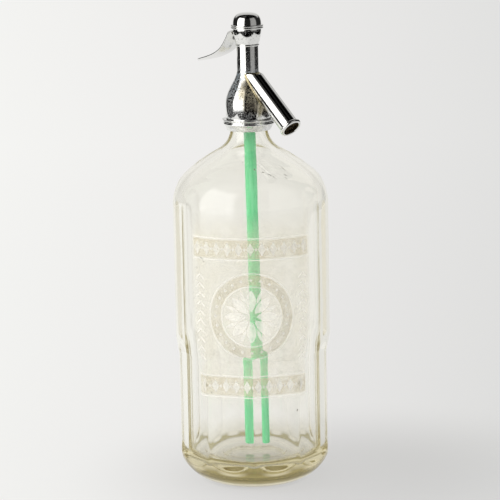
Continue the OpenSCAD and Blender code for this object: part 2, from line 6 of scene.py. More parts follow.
import bpy
import numpy as np
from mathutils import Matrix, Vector


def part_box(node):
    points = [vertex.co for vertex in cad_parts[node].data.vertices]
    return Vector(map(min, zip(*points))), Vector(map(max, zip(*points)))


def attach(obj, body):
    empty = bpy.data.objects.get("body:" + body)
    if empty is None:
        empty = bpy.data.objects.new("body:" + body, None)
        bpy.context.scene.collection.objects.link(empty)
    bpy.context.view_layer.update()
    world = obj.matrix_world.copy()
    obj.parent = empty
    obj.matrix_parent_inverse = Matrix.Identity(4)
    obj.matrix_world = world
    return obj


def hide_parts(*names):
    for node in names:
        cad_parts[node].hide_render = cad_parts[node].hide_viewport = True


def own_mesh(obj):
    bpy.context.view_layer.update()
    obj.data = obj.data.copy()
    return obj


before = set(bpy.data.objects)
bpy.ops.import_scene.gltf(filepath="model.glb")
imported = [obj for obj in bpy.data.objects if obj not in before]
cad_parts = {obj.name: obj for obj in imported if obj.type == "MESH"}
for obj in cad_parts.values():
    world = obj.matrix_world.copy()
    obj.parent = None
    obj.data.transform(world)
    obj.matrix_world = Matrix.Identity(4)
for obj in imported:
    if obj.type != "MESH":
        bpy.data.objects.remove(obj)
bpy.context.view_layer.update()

# Lengths are in millimetres, as in the part's source, until raw_mesh() turns them into metres
MM = 0.001
ON_AXIS = 1e-6  # a smaller radius than this is a point on the axis
CREASE = 35  # an edge that turns by more degrees stays crisp
CUT = 60  # longer than any piece that a cutter has to clear

# ---- Sizes of the bottle ----
BODY_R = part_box("bottle")[1].x / MM
BODY_H = 186
SHOULDER_RISE = 50.4
SHOULDER_R = 29
SHOULDER_TURN = 50
NECK_CURVE_R = 16.5
NECK_TURN = 61
WALL_T = 5.7
NECK_R = 12
MOUTH_R = 6.6
MOUTH_ROUND = 0.8
HEEL_R = 27
FOOT_W = 2.6
PUNT_H = 2.5
FLOOR_Z = 17.7
FLOOR_STEP_H = 0.5
FLOOR_STEP_R = 25
FLOOR_STEP_ROUND = 0.6
FLOOR_CURVE_R = 8.5
GROOVE_R = 10.6
GROOVE_SLOPE_H = 1.6
GROOVE_H = 7.5
LIP_R = 12.2
LIP_H = 8
LIP_LOW_ROUND = 1.5
LIP_TOP_ROUND = 2
BOTTLE_COLUMNS = 300  # points in each row round the glass

# ---- Facets and flutes cut into it ----
FACET_N = 10
FACET_INSET = 0.15
FACET_FOLD_Z = 89
ARCH_H = 10
ARCH_STEP = 0.4
FLUTE_ARCH_H = 24
FLUTE_W = 23
FLUTE_ANGLE = 60
FRONT_ANGLE = -44
EDGE_SOFTNESS = 0.18  # radius to which polishing has rounded the cut edges
FILM_GAP = 0.04  # the etched layers end this far outside the clear glass

# ---- Sizes of the neck joint ----
SEAL_T = 2
SKIRT_R = 14.4
SKIRT_ROUND = 0.6
BEAD_R = 16.8
BEAD_ROUND = 1.3
BEAD_UP = 1.1
FLANGE_R = 17.4
FLANGE_T = 0.9
FLANGE_ROUND = 0.4
COLLAR_GAP = 0.3
SPLIT_ANGLE = 47
SPLIT_TURN = 0.4  # each end of a half stops this many degrees short of the split

# ---- Sizes of the head and the spout ----
BELL_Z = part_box("head_body")[0].z / MM
SEAM_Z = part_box("head_body")[1].z / MM
TOP_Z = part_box("cap")[1].z / MM
BELL_R = 15.1
BELL_EDGE_ROUND = 0.25
BELL_BORE_R = 13.3
BELL_H = 9.5
FLARE_H = 22.5
FLARE_LOW_PULL = 0.42  # shares of its height that the flare runs nearly straight
FLARE_HIGH_PULL = 0.31
THROAT_R = 7.1
THROAT_H = 16
WAIST_BEAD_R = 0.6
BULB_R = 9.3
BULB_H = 10.6
RIM_R = 10.7
RIM_H = 1.3
CAP_R = 9.35
CROWN_T = 2.7
SPIGOT_H = 4.5
SPIGOT_R = 7
BULB_BORE_R = 5.6
BULB_FLOOR_DROP = 1.7
GLAND_R = 4.8
CHAMBER_R = 3.9
CHAMBER_H = 13.2
SEAT_R = 3.6
SEAT_H = 3.3
FEED_R = 2.2
FEED_H = 1.5
SOCKET_R = 6
SOCKET_H = 6
SEAM_GAP = 0.02  # keeps two surfaces that meet from showing through each other
SPOUT_R = 6.3
SPOUT_WALL = 0.6
SPOUT_ANGLE = 48.6
SPOUT_UP = 22.3
SPOUT_TOP_DROP = 2.3
SPOUT_L = 53.5
SPOUT_RIM_R = 7.4
SPOUT_LIP_R = 5.5
SPOUT_LIP_ROUND = 0.5
SPOUT_RIM_L = 2.6
SPOUT_BORE_FROM = 8  # the spout's bore starts this far from the head's axis
SCALE_FROM = 12
SCALE_T = 0.1
SOLDER_W = 0.9
TUBE_R = 3.9
TUBE_WALL = 1.1
TUBE_LEAN = 0.8
TUBE_LEAN_DIR = 47
TUBE_TOP_GAP = 0.2
TUBE_END_RISE = 0.06  # from the lowest point of the tube's slanting end to its middle

# ---- Sizes of the lever ----
PIVOT_X = 6.2
PIVOT_UP = 4.6
PIN_R = 1.2
PIN_HOLE_L = 20
HUB_R = 2.3
HUB_W = 3.3
SLOT_W = 3.7
SLOT_FRONT_X = -1.6
PRONG_T = 1.1
NOSE_R = 1.2
LEVER_TRAVEL = 18
ROOT_X = 9.6
ROOT_DROP = 2.2
BLADE_SPAN = np.array([38.5, -20.9])
ROOT_SLOPE = 58
TIP_SLOPE = 12
BLADE_BEND = 0.9
ROOT_W = 8.6
TIP_W = 7.2
TIP_END_W = 0.6
EDGE_T = 1.2
BELLY_T = 1.9
CROWN_H = 1.5
CROWN_END = 0.45  # share of the blade's length where its crown has become a hollow
DISH_H = 0.5
RIB_H = 1.4

# ---- Heights, stacked from the table up ----
NECK_Z = BODY_H + SHOULDER_RISE
GROOVE_Z = NECK_Z + GROOVE_SLOPE_H
LIP_Z = GROOVE_Z + GROOVE_H
LIP_TOP_Z = LIP_Z + LIP_H
CEILING_Z = LIP_TOP_Z + SEAL_T
SOCKET_TOP_Z = CEILING_Z + SOCKET_H
SEAT_Z = SOCKET_TOP_Z + FEED_H
CHAMBER_Z = SEAT_Z + SEAT_H
LEDGE_Z = CHAMBER_Z + CHAMBER_H
FLARE_Z = BELL_Z + BELL_H
THROAT_Z = FLARE_Z + FLARE_H
WAIST_Z = THROAT_Z + THROAT_H
BULB_FLOOR_Z = WAIST_Z - BULB_FLOOR_DROP
RIM_Z = WAIST_Z + BULB_H
CAP_Z = SEAM_Z + RIM_H
SPIGOT_Z = SEAM_Z - SPIGOT_H
SPOUT_Z = FLARE_Z + SPOUT_UP
SPOUT_TOP_Z = SPOUT_Z - SPOUT_TOP_DROP
PIVOT_Z = WAIST_Z + PIVOT_UP


# ---- Curves ----
def towards(angle):
    """The flat direction at an angle in degrees."""
    return np.array([math.cos(math.radians(angle)), math.sin(math.radians(angle))])


def around(r, angle, z):
    """The place at a radius, an angle in degrees and a height."""
    return (*(r * towards(angle)), z)


def bezier(a, b, c, d, steps=None, t=None):
    """Points of a cubic curve, in so many steps or at given shares t of it."""
    t = (np.linspace(0, 1, steps + 1) if t is None else t)[:, None]
    a, b, c, d = (np.array(p, float) for p in (a, b, c, d))
    return (1 - t) ** 3 * a + 3 * (1 - t) ** 2 * t * b + 3 * (1 - t) * t**2 * c + t**3 * d


def arc(centre, r, start, end, steps):
    """Points of a round stretch, from one angle to another in degrees."""
    a = np.radians(np.linspace(start, end, steps + 1))
    return np.array(centre, float) + r * np.stack([np.cos(a), np.sin(a)], 1)


def rows(r, low, high, step):
    """Points up a straight wall, so that it can carry facets or ripples."""
    count = max(round((high - low) / step), 1)
    return np.array([[r, z] for z in np.linspace(low, high, count + 1)])


def ease(u):
    """0 to 1 with a soft start and end."""
    u = np.clip(u, 0, 1)
    return u * u * (3 - 2 * u)


# ---- Meshes ----
def raw_mesh(name, points, faces):
    """A mesh from points in millimetres."""
    mesh = bpy.data.meshes.new(name)
    mesh.from_pydata([tuple(float(c) * MM for c in p) for p in points], [], faces)
    return mesh


def smooth(mesh, crease):
    """Shades a mesh smooth, apart from edges that turn by more than crease degrees."""
    mesh.shade_smooth()
    mesh.set_sharp_from_angle(angle=math.radians(crease))


def placed(name, data):
    """A new object in the scene."""
    made = bpy.data.objects.new(name, data)
    bpy.context.collection.objects.link(made)
    return made


def piece(name, points, faces, finish, slot, body="siphon", crease=CREASE):
    """A shown piece, with its finish, that rides on a body."""
    mesh = raw_mesh(name, points, faces)
    mesh.validate()
    smooth(mesh, crease)
    mesh.materials.append(finish)
    made = placed(name, mesh)
    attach(made, body)
    return made


def numbers(points, count):
    """The numbers that the next so many points will have."""
    return list(range(len(points), len(points) + count))


def grid_faces(index, wrap_rows, wrap_columns):
    """Faces between the rows of a grid of point numbers, with triangles where numbers repeat."""
    faces = []
    row_count, column_count = len(index), len(index[0])
    for i in range(row_count if wrap_rows else row_count - 1):
        here, above = index[i], index[(i + 1) % row_count]
        for j in range(column_count if wrap_columns else column_count - 1):
            k = (j + 1) % column_count
            corners = [here[j], here[k], above[k], above[j]]
            face = [c for n, c in enumerate(corners) if c not in corners[:n]]
            if len(face) > 2:
                faces.append(face)
    return faces


def turned(profile, columns, looped=True, sweep=(0, 360)):
    """Points and faces of a profile of (radius, height) turned round Z."""
    full = sweep[1] - sweep[0] >= 360
    angles = np.radians(np.linspace(*sweep, columns, endpoint=not full))
    points, index = [], []
    for r, z in profile:
        if r < ON_AXIS:
            index.append([len(points)] * columns)
            points.append((0, 0, z))
        else:
            index.append(numbers(points, columns))
            points += [(r * math.cos(a), r * math.sin(a), z) for a in angles]
    faces = grid_faces(index, looped, full)
    if not full:
        faces.append([row[0] for row in index])
        faces.append([row[-1] for row in reversed(index)])
    return points, faces


def on_spout(points):
    """Moves points made round Z so that Z runs down and out along the spout."""
    tilt = math.radians(180 - SPOUT_ANGLE)
    p = np.array(points, float)
    x = p[:, 0] * math.cos(tilt) + p[:, 2] * math.sin(tilt)
    z = -p[:, 0] * math.sin(tilt) + p[:, 2] * math.cos(tilt)
    return np.stack([x, p[:, 1], z + SPOUT_Z], 1)


def box_mesh(low, high):
    """Points and faces of a plain box, used only to cut with."""
    (x0, y0, z0), (x1, y1, z1) = low, high
    points = [(x, y, z) for x in (x0, x1) for y in (y0, y1) for z in (z0, z1)]
    faces = [(0, 1, 3, 2), (4, 6, 7, 5), (0, 4, 5, 1), (2, 3, 7, 6), (0, 2, 6, 4), (1, 5, 7, 3)]
    return points, faces


def cut_away(target, cutters):
    """Takes closed shapes out of a piece for good, so that no modifier is left on it."""
    helpers = []
    for points, faces in cutters:
        helper = placed("cutter", raw_mesh("cutter", points, faces))
        helpers.append(helper)
        cut = target.modifiers.new("cut", "BOOLEAN")
        cut.operation = "DIFFERENCE"
        cut.solver = "EXACT"
        cut.object = helper
    shown = target.evaluated_get(bpy.context.evaluated_depsgraph_get())
    whole = bpy.data.meshes.new_from_object(shown)
    target.modifiers.clear()
    target.data = whole
    smooth(whole, CREASE)
    for helper in helpers:
        bpy.data.objects.remove(helper)


# ---- Colours and nodes ----
def linear(hex_colour):
    """An sRGB hex colour as linear RGBA."""
    parts = [int(hex_colour[i:i + 2], 16) / 255 for i in (0, 2, 4)]
    return (*[c / 12.92 if c <= 0.04045 else ((c + 0.055) / 1.055) ** 2.4 for c in parts], 1.0)


def add_node(tree, kind, inputs=(), stops=None, **settings):
    """Adds a node, as "Kind" or "Kind.OPERATION". Its inputs come by name or in order, and each
    is a value, a hex colour, another node or that node's output."""
    kind, _, operation = kind.partition(".")
    made = tree.nodes.new("ShaderNode" + kind)
    if operation:
        made.operation = operation
    for name, value in settings.items():
        setattr(made, name, value)
    sockets = [socket for socket in made.inputs if socket.enabled]
    if isinstance(inputs, dict):
        named = {socket.name: socket for socket in reversed(sockets)}
        sockets, inputs = [named[name] for name in inputs], inputs.values()
    for socket, value in zip(sockets, inputs):
        if isinstance(value, bpy.types.Node):
            value = next(output for output in value.outputs if output.enabled)
        if isinstance(value, bpy.types.NodeSocket):
            tree.links.new(value, socket)
        else:
            socket.default_value = linear(value) if isinstance(value, str) else value
    if stops:
        ramp = made.color_ramp.elements
        while len(ramp) < len(stops):
            ramp.new(1.0)
        for stop, (place, colour) in zip(ramp, stops):
            stop.position = place
            stop.color = linear(colour) if isinstance(colour, str) else (*[colour] * 3, 1.0)
    return made


def new_material(name):
    """An empty material, what adds a node to it, and the place that its patterns follow."""
    made = bpy.data.materials.new(name)
    made.use_nodes = True
    made.node_tree.nodes.clear()
    add = partial(add_node, made.node_tree)
    return made, add, add("TexCoord").outputs["Object"]


# ---- Materials ----
# A TexNoise takes a place, a scale, its detail and its roughness. The scale is a count to the
# metre, so that 1000 makes grains 1 mm apart. A MapRange takes a value, the two ends that it runs
# between, and what these ends become, which is 0 and 1 where it isn't said.
SPOUT_FOOT = (0.013, -0.003, 0.258)  # in metres, as all that the nodes below measure


def plated_chrome(name, tarnish=0.0, pits=0.35):
    """Chrome plate on brass: a mirror that tarnish greys in clouds, and pits where it lifted."""
    made, add, place = new_material(name)
    clouds = add("TexNoise", [place, 160, 6, 0.65])
    cloud = add("ValToRGB", [clouds], stops=[(0.33, 0.0), (0.49, 1.0)])
    # The flare is splashed and handled most, and the bulb above it least
    height = add("SeparateXYZ", [place]).outputs["Z"]
    up = add("MapRange", [height, 0.24, 0.3])
    spread = add("ValToRGB", [up], stops=[
        (0.0, 0.2), (0.2, 0.3), (0.33, 0.85), (0.52, 1.0), (0.6, 0.12), (0.8, 0.0)])
    grain = add("TexNoise", [place, 800, 3, 0.6])
    speck = add("ValToRGB", [grain], stops=[(0.45, 0.0), (0.55, 1.0)])
    film = add("Math.MULTIPLY", [cloud, spread])
    dull = add("Math.MULTIPLY", [film, tarnish])
    # Pits 0.9 mm apart, which is about as fine as the render can show
    spots = add("TexVoronoi", {"Vector": place, "Scale": 1100, "Randomness": 1.0})
    spot = add("ValToRGB", [spots], stops=[(0.12, 1.0), (0.32, 0.0)])
    where = add("Math.MULTIPLY", [speck, spot])
    amount = add("Math.MULTIPLY", [where, pits])
    stain = add("Math.MULTIPLY", [dull, speck])
    grey = add("Mix", [stain, "f0f0ee", "6b7981"], data_type="RGBA")
    # Brass shows brown and yellow round the foot of the spout, where the plate is thin
    foot = add("VectorMath.DISTANCE", [place, SPOUT_FOOT])
    ragged = add("Math.MULTIPLY", [clouds, 0.012])
    edge = add("Math.ADD", [foot, ragged])
    bare = add("MapRange", [edge, 0.0165, 0.021, 0.75 * tarnish, 0.0],
               interpolation_type="SMOOTHSTEP")
    colour = add("Mix", [bare, grey, "8a7c55"], data_type="RGBA")
    worn = add("Mix", [amount, colour, "3a372f"], data_type="RGBA")
    rough = add("MapRange", [dull, 0.0, 1.0, 0.04, 0.13])
    metal = add("MapRange", [stain, 0.0, 1.0, 1.0, 0.35])
    bump = add("Bump", {"Height": where, "Strength": 0.35 * pits, "Distance": 0.0002},
               invert=True)
    shader = add("BsdfPrincipled", {
        "Base Color": worn, "Metallic": metal, "Roughness": rough, "Normal": bump})
    add("OutputMaterial", [shader])
    return made


def bottle_glass():
    """Moulded soda glass with a straw tint: clear and smooth, olive where it is thick, and with an
    olive band and pale spots painted round its base for light refracted through it.
    """
    made, add, place = new_material("moulded_soda_glass")
    # The wall ripples by a hair's breadth every 26 mm, as blown glass does
    ripple = add("TexNoise", [place, 38, 1.5])
    bump = add("Bump", {"Height": ripple, "Strength": 0.12, "Distance": 0.002})
    # Painted refraction: an olive band painted round the base, with painted pale spots behind each
    # facet, stands in for light that has run through the thick glass
    axes = add("SeparateXYZ", [place]).outputs
    height = axes["Z"]
    base = add("MapRange", [height, 0.0, 0.03])
    band = add("ValToRGB", [base], stops=[
        (0.2, "f6f4ee"), (0.29, "7e7339"), (0.48, "92874c"), (0.6, "f3f1e6"), (1.0, "fdfdfb")])
    turn = add("Math.ARCTAN2", [axes["Y"], axes["X"]])
    facets = add("Math.MULTIPLY_ADD", [turn, FACET_N / math.tau, -FRONT_ANGLE * FACET_N / 360])
    along = add("Math.FRACT", [facets])
    off_side = add("MapRange", [along, 0.5, 0.8], clamp=False)
    off_up = add("MapRange", [height, 0.0148, 0.0178], clamp=False)
    spot = add("CombineXYZ", [off_side, off_up])
    away = add("VectorMath.LENGTH", [spot])
    pale = add("MapRange", [away, 0.45, 1.35, 1.0, 0.0], interpolation_type="SMOOTHSTEP")
    # The glass's colour takes the painted olive band and painted pale spots
    clear = add("Mix", [pale, band, "fffbee"], data_type="RGBA")
    # The foot is worn matt where it has stood
    worn = add("MapRange", [height, 0.0015, 0.004, 0.35, 0.0])
    shader = add("BsdfPrincipled", {
        "Base Color": clear, "Roughness": worn, "IOR": 1.52, "Transmission Weight": 1.0,
        "Normal": bump})
    # Lamps shine through the glass, less a little that it takes
    open_to_lamps = add("BsdfTransparent", ["efeee6"])
    rays = add("LightPath").outputs
    seen = add("MixShader", [rays["Is Shadow Ray"], shader, open_to_lamps])
    tint = add("VolumeAbsorption", ["dacf95", 10.0])
    # Painted glow: light caught between the faces ends as an emission from the glass, where a real
    # bottle scatters it
    caught = add("Math.GREATER_THAN", [rays["Ray Depth"], 12])
    painted_glow = add("Emission", ["cfcebf"])
    ended = add("MixShader", [caught, seen, painted_glow])
    add("OutputMaterial", [ended, tint])
    return made


def green_tube():
    """Extruded green polythene, slightly see-through, so light fills it softly."""
    made, add, place = new_material("extruded_green_polythene")
    # Streaks 1.4 mm apart and many times as long, from the die
    streaks = add("Mapping", {"Vector": place, "Scale": (1.0, 1.0, 0.06)})
    drawn = add("TexNoise", [streaks, 700, 3])
    colour = add("ValToRGB", [drawn], stops=[(0.3, "74f0aa"), (0.7, "98ffc8")])
    bump = add("Bump", {"Height": drawn, "Strength": 0.1, "Distance": 0.0002})
    shader = add("BsdfPrincipled", {
        "Base Color": colour, "Roughness": 0.32, "IOR": 1.51, "Normal": bump})
    # Daylight from behind comes through the wall
    through = add("BsdfTranslucent", [colour])
    both = add("MixShader", [0.15, shader, through])
    add("OutputMaterial", [both])
    return made


def acid_etch(name, tone, cover, fades=False):
    """Glass dulled by acid: a matt bloom, thick and thin in grains, that may fade at its edges."""
    made, add, place = new_material(name)
    # Acid bites in grains of about 0.7 mm, in clouds of about 8 mm
    grain = add("TexNoise", [place, 1400, 3, 0.7])
    cloud = add("TexNoise", [place, 120, 3])
    bite = add("Math.MULTIPLY", [grain, cloud])
    alpha = add("MapRange", [bite, 0.13, 0.38, 0.45 * cover, 1.3 * cover])
    if fades:
        height = add("SeparateXYZ", [place]).outputs["Z"]
        facing = add("VectorMath.DOT_PRODUCT", [place, around(1, FRONT_ANGLE, 0)])
        for where, gone, whole in ((height, 0.056, 0.076), (height, 0.19, 0.168),
                                   (facing, 0.033, 0.038)):
            near_edge = add("MapRange", [where, gone, whole], interpolation_type="SMOOTHSTEP")
            alpha = add("Math.MULTIPLY", [alpha, near_edge])
    bump = add("Bump", {"Height": grain, "Strength": 0.3, "Distance": 0.0001})
    shader = add("BsdfPrincipled", {
        "Base Color": tone, "Roughness": 0.85, "Alpha": alpha, "Normal": bump})
    add("OutputMaterial", [shader])
    return made


def grained(name, scale, detail, stops, relief=None, **surface):
    """A material with grains in the stops' colours. relief is a bump's strength and depth."""
    made, add, place = new_material(name)
    grain = add("TexNoise", [place, scale, detail])
    surface["Base Color"] = add("ValToRGB", [grain], stops=stops)
    if relief:
        strength, depth = relief
        surface["Normal"] = add("Bump", {
            "Height": grain, "Strength": strength, "Distance": depth})
    shader = add("BsdfPrincipled", surface)
    add("OutputMaterial", [shader])
    return made


def scratch():
    """Bare broken glass in a scratch, filled with dark grime in grains of 0.4 mm."""
    return grained("grime_in_scratch", 2500, 2, [(0.4, "4b4a42"), (0.65, "b9b7a8")],
                   Roughness=0.5)


def turned_brass(name, dark, light, rough):
    """Brass off the lathe, with its fine rings and some brown tarnish."""
    made, add, place = new_material(name)
    stain = add("TexNoise", [place, 350, 4])
    colour = add("ValToRGB", [stain], stops=[(0.35, dark), (0.65, light)])
    # Lathe rings 0.6 mm apart, drawn coarser than real ones so that they show
    rings = add("TexWave", {"Vector": place, "Scale": 520, "Distortion": 0.4},
                bands_direction="Z")
    bump = add("Bump", {
        "Height": rings.outputs["Fac"], "Strength": 0.1, "Distance": 0.0001})
    shader = add("BsdfPrincipled", {
        "Base Color": colour, "Metallic": 1.0, "Roughness": rough, "Normal": bump})
    add("OutputMaterial", [shader])
    return made


def black_rubber():
    """Moulded black rubber, dull, with a little dust in specks of 1 mm."""
    return grained("moulded_black_rubber", 900, 4, [(0.4, "1c1b1a"), (0.75, "37342f")],
                   relief=(0.15, 0.0002), Roughness=0.7)


def drawn_steel():
    """Drawn steel wire and pin stock: bright grey, with drawing marks 0.6 mm apart."""
    return grained("drawn_steel", 1600, 3, [(0.3, "8f8f8d"), (0.7, "b9b9b6")],
                   Metallic=1.0, Roughness=0.28)


def brown_scale():
    """Limescale in crumbs of 1.7 mm, stained brown by years of use."""
    return grained("brown_limescale", 600, 5, [(0.35, "33291a"), (0.7, "6b5c3f")],
                   relief=(0.5, 0.0003), Roughness=0.6)


SCALE = brown_scale()
CHROME = plated_chrome("polished_chrome_plate")
WORN_CHROME = plated_chrome("pitted_chrome_plate", tarnish=0.95, pits=0.8)
GLASS = bottle_glass()
GREEN = green_tube()
BLOOM = acid_etch("acid_bloom", "dfd9c4", 0.2, fades=True)
BAND_ETCH = acid_etch("acid_etched_band", "dbd2b8", 0.26)
LINE_ETCH = acid_etch("acid_etched_line", "f8f6ee", 0.45)
GRIME = scratch()
BRASS = turned_brass("turned_brass", "8a6b35", "b8965a", 0.3)
SOLDER = turned_brass("soft_solder_over_brass", "8f8468", "c2b893", 0.35)
RUBBER = black_rubber()
STEEL = drawn_steel()


# ---- The bottle ----
def shoulder_line(inset, neck_inset):
    """From the shoulder's start to the top of the neck's curve, set in by a wall."""
    low = arc([BODY_R - SHOULDER_R, BODY_H], SHOULDER_R - inset, 0, SHOULDER_TURN, 26)
    high = arc([NECK_R + NECK_CURVE_R, NECK_Z], NECK_CURVE_R + neck_inset, 180 + NECK_TURN, 180, 22)
    reach = np.linalg.norm(high[0] - low[-1]) / 3
    slope = bezier(low[-1], low[-1] + reach * towards(90 + SHOULDER_TURN),
                   high[0] - reach * towards(90 + NECK_TURN), high[0], 12)
    return np.concatenate([low, slope[1:-1], high])


def outer_line():
    """From the middle of the base up the outside to the mouth."""
    punt_r = BODY_R - HEEL_R - FOOT_W
    arches_z = FACET_FOLD_Z - ARCH_H
    flutes_z = FACET_FOLD_Z + FLUTE_ARCH_H + 1
    return np.concatenate([
        arc([0, 0], 1, 90, 0, 12)[:-1] * [punt_r, PUNT_H],
        arc([BODY_R - HEEL_R, HEEL_R], HEEL_R, -90, 0, 36),
        rows(BODY_R, HEEL_R, arches_z, 5)[1:],
        rows(BODY_R, arches_z, flutes_z, 0.7)[1:],
        rows(BODY_R, flutes_z, BODY_H, 6)[1:-1],
        shoulder_line(0, 0),
        [[GROOVE_R, GROOVE_Z], [GROOVE_R, LIP_Z]],
        arc([LIP_R - LIP_LOW_ROUND, LIP_Z + LIP_LOW_ROUND], LIP_LOW_ROUND, -60, 0, 5),
        arc([LIP_R - LIP_TOP_ROUND, LIP_TOP_Z - LIP_TOP_ROUND], LIP_TOP_ROUND, 0, 90, 8),
    ])


def inner_line():
    """From the mouth down the inside to the middle of the floor."""
    inner_r = BODY_R - WALL_T
    raised_z = FLOOR_Z + FLOOR_STEP_H
    bend_r = FLOOR_STEP_R - FLOOR_STEP_ROUND
    return np.concatenate([
        arc([MOUTH_R + MOUTH_ROUND, LIP_TOP_Z - MOUTH_ROUND], MOUTH_ROUND, 90, 180, 5),
        shoulder_line(WALL_T, NECK_R - MOUTH_R)[::-1],
        rows(inner_r, FLOOR_Z + FLOOR_CURVE_R, BODY_H, 5)[::-1][1:],
        arc([inner_r - FLOOR_CURVE_R, FLOOR_Z + FLOOR_CURVE_R], FLOOR_CURVE_R, 0, -90, 14)[1:],
        [[FLOOR_STEP_R + 8, FLOOR_Z], [FLOOR_STEP_R + 1, FLOOR_Z]],
        bezier([FLOOR_STEP_R, FLOOR_Z], [bend_r, FLOOR_Z], [bend_r, raised_z],
               [FLOOR_STEP_R - FLOOR_STEP_H, raised_z], 6),
        [[FLOOR_STEP_R - 8, raised_z], [8, raised_z], [0, raised_z]],
    ])


FACET_D = (BODY_R - FACET_INSET) * math.cos(math.pi / FACET_N)
FLUTE_D = BODY_R * math.cos(math.radians(FLUTE_W / 2))
FLUTE_SIDES = [FLUTE_ANGLE, 180 - FLUTE_ANGLE, 180 + FLUTE_ANGLE, 360 - FLUTE_ANGLE]


def facet_planes(z):
    """Direction and distance from the axis of each flat cut at a height."""
    planes = []
    step = 360 / FACET_N
    for i in range(FACET_N):
        side = (i + 0.5) * step
        fluted = any(abs(a - side) < step / 2 for a in FLUTE_SIDES)
        fold = FACET_FOLD_Z + (ARCH_STEP if fluted else -(i % 2) * ARCH_STEP)
        run_out = max(z - fold, 0) / (FLUTE_ARCH_H if fluted else ARCH_H)
        planes.append((FRONT_ANGLE + side, FACET_D + (BODY_R - FACET_D) * run_out))
    if z > FACET_FOLD_Z - ARCH_H:
        planes += [(FRONT_ANGLE + side, FLUTE_D) for side in FLUTE_SIDES]
    return planes


def cut_radius(r, z, angle):
    """Radius of the outside at a height and angle, once the facets and flutes are cut."""
    reach = [r]
    for side, distance in facet_planes(z):
        turn = math.cos(math.radians(angle - side))
        if turn > 0.8:  # a cut reaches only the glass on its own side
            reach.append(distance / turn)
    least = min(reach)
    shares = sum(math.exp((least - d) / EDGE_SOFTNESS) for d in reach)
    return least - EDGE_SOFTNESS * math.log(shares)


def bottle():
    """The glass, outside and inside, as one closed skin."""
    profile = [(r, z, True) for r, z in outer_line()] + [(r, z, False) for r, z in inner_line()]
    points, index = [], []
    for r, z, outside in profile:
        if r < ON_AXIS:
            index.append([len(points)] * BOTTLE_COLUMNS)
            points.append((0, 0, z))
            continue
        index.append(numbers(points, BOTTLE_COLUMNS))
        cut = outside and z < BODY_H + SHOULDER_R
        for j in range(BOTTLE_COLUMNS):
            angle = FRONT_ANGLE + 360 * j / BOTTLE_COLUMNS
            points.append(around(cut_radius(r, z, angle) - FILM_GAP if cut else r, angle, z))
    made = piece("glass_bottle", points, grid_faces(index, False, True), GLASS, "glass",
                 crease=50)
    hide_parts("bottle")


# ---- What is etched and scratched on the bottle ----
# Three thin layers, each under the one before with a hair's gap between them
ETCH_T = 0.012
LINE_DEPTH = 0.0
BAND_DEPTH = 0.013
BLOOM_DEPTH = 0.026
BANDS = ((41, 158, 11), (39, 67, 10))  # reach to each side, lower edge and number of lozenges
BAND_H = 12
RULE_W = 0.7  # width of the fine lines above and below a band
LOZENGE_STEP = 7.5
LARGE_LOZENGE = (2.6, 4.2)  # half widths and half heights
SMALL_LOZENGE = (0.8, 1.3)
STUD = (1.1, 1.1)
ROSETTE_Z = 120
STUD_RING_R = 24
SHOWN_WIDTH = 1.7  # a scratch is drawn this much wider, so that it shows
OUTER = outer_line()
OUTER_SIDE = OUTER[(OUTER[:, 0] > NECK_R - 0.1) & (OUTER[:, 1] > 1) & (OUTER[:, 1] < NECK_Z)]


def on_glass(u, z, depth):
    """The place u round from the middle of the front, at height z, so deep in the etched layers."""
    angle = FRONT_ANGLE + math.degrees(u / BODY_R)
    r = cut_radius(np.interp(z, OUTER_SIDE[:, 1], OUTER_SIDE[:, 0]), z, angle) - depth
    return around(r, angle, z)


def etched(name, patches, depth, finish):
    """A thin closed layer per patch: rows of (round, up), and whether the rows make a ring."""
    points, faces = [], []
    for patch, closed in patches:
        index = []
        for row in patch:
            index.append(numbers(points, 2 * len(row)))
            points += [on_glass(u, z, depth) for u, z in row]
            points += [on_glass(u, z, depth + ETCH_T) for u, z in row[::-1]]
        faces += grid_faces(index, closed, True)
        if not closed:
            faces += [list(reversed(index[0])), index[-1]]
    return piece(name, points, faces, finish, "glass", crease=60)


def strip(left, right, low, high):
    """A band straight round the bottle."""
    across = np.linspace(left, right, max(round(right - left), 2))
    up = np.linspace(low, high, max(round(high - low), 1) + 1)
    return [[(u, z) for u in across] for z in up], False


def lozenge(u, z, half_w, half_h):
    """A diamond with its points cut off just short."""
    return [[(u + side * half_w * max(1 - abs(t), 0.05), z + half_h * t) for side in (-1, 0, 1)]
            for t in np.linspace(-1, 1, 7)], False


def ring(low_r, high_r):
    """A round line about the middle of the rosette."""
    return list(zip(*(arc([0, ROSETTE_Z], r, 0, 360, 72)[:-1] for r in (low_r, high_r)))), True


def petal(turn, low_r, high_r, half_w):
    """A leaf shape that points out from the middle of the rosette."""
    out = towards(turn)
    side = np.array([-out[1], out[0]])
    grid = []
    for t in np.linspace(0, 1, 13):
        w = max(half_w * math.sin(math.pi * t) ** 0.8, 0.08)
        middle = (low_r + (high_r - low_r) * t) * out + [0, ROSETTE_Z]
        grid.append([tuple(middle + k * w * side) for k in (-1, 0, 1)])
    return grid, False


def chevron(u, z, half_w, rise, thick):
    """A short roof shape."""
    return [[(u + k * half_w, z - abs(k) * rise + lift) for k in (-1, -0.5, 0, 0.5, 1)]
            for lift in (0, thick)], False


